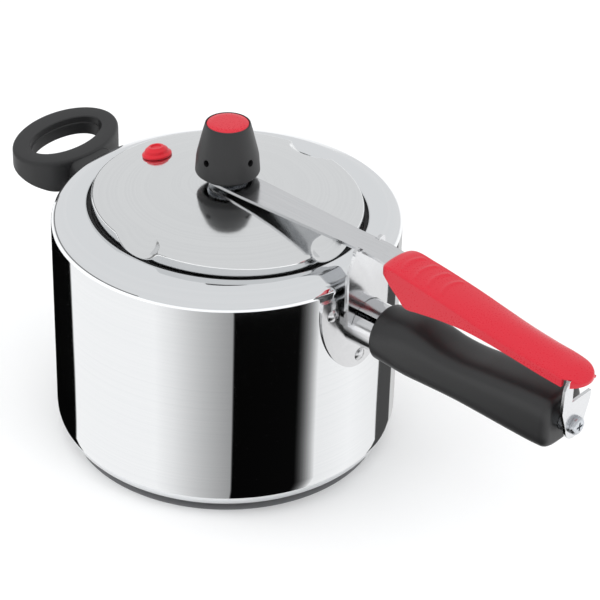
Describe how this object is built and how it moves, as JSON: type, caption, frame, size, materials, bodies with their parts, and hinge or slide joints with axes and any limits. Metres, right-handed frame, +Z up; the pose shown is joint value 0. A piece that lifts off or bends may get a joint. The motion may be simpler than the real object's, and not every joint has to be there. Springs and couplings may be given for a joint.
{
  "type": "pressure canner",
  "caption": "Round metal pressure cooker with an oval inner lid, lever handle and latch, weight valve, safety plug and rear loop handle.",
  "frame": {"origin": "centre of the flat base, on the surface it stands on", "axes": "+Z up out of the pot's mouth, +X along the long handle, +Y across the handle"},
  "size_m": [0.416, 0.204, 0.2044],
  "materials": {
    "polished_aluminium": "mirror polished outside",
    "lid_aluminium": "bright polished, slightly softer than the pot",
    "stainless_sheet": "bright stainless sheet",
    "rivet_metal": "satin",
    "steel_hardware": "zinc plated",
    "black_phenolic": "satin moulded phenolic",
    "red_plastic": "glossy moulded",
    "gasket_rubber": "matt",
    "red_silicone": "satin silicone",
    "brass_core": "turned"
  },
  "bodies": {
    "pot": {"pot_body": "polished_aluminium", "handle_bracket": "stainless_sheet", "bracket_rivets": "rivet_metal", "handle_ferrule": "stainless_sheet", "weld_nut": "steel_hardware", "lower_handle": "black_phenolic", "latch_bush": "steel_hardware", "handle_screw": "steel_hardware", "rear_bracket": "stainless_sheet", "rear_rivets": "rivet_metal", "rear_handle": "black_phenolic", "rear_screw": "steel_hardware"},
    "lever": {"lever_strip": "stainless_sheet", "upper_handle": "red_plastic", "grip_screws": "steel_hardware"},
    "lid": {"lid": "lid_aluminium", "lid_gasket": "gasket_rubber", "valve_stem": "steel_hardware", "stem_seal": "gasket_rubber", "stem_nut": "steel_hardware", "safety_plug": "red_silicone"},
    "weight": {"weight_shell": "black_phenolic", "weight_core": "brass_core", "weight_cap": "red_plastic"},
    "latch": {"latch_plate": "stainless_sheet"}
  },
  "joints": [
    {"name": "lever_lift", "type": "hinge", "parent": "pot", "child": "lever", "pos_m": [0.107, 0, 0.16562], "axis": [0, -1, 0], "range_deg": [0, 7]},
    {"name": "lid_level", "type": "hinge", "parent": "lever", "child": "lid", "pos_m": [0, 0, 0.17267], "axis": [0, -1, 0], "range_deg": [-7, 0]},
    {"name": "weight_lift", "type": "slide", "parent": "lid", "child": "weight", "axis": [0, 0, 1], "range_m": [0, 0.035]},
    {"name": "latch_swing", "type": "hinge", "parent": "pot", "child": "latch", "pos_m": [0.251, 0, 0.118], "axis": [1, 0, 0], "range_deg": [0, 70]}
  ],
  "couplings": [
    {"joint": "lid_level", "follows": "lever_lift", "ratio": -1},
    {"joint": "latch_swing", "follows": "lever_lift", "ratio": 10}
  ]
}
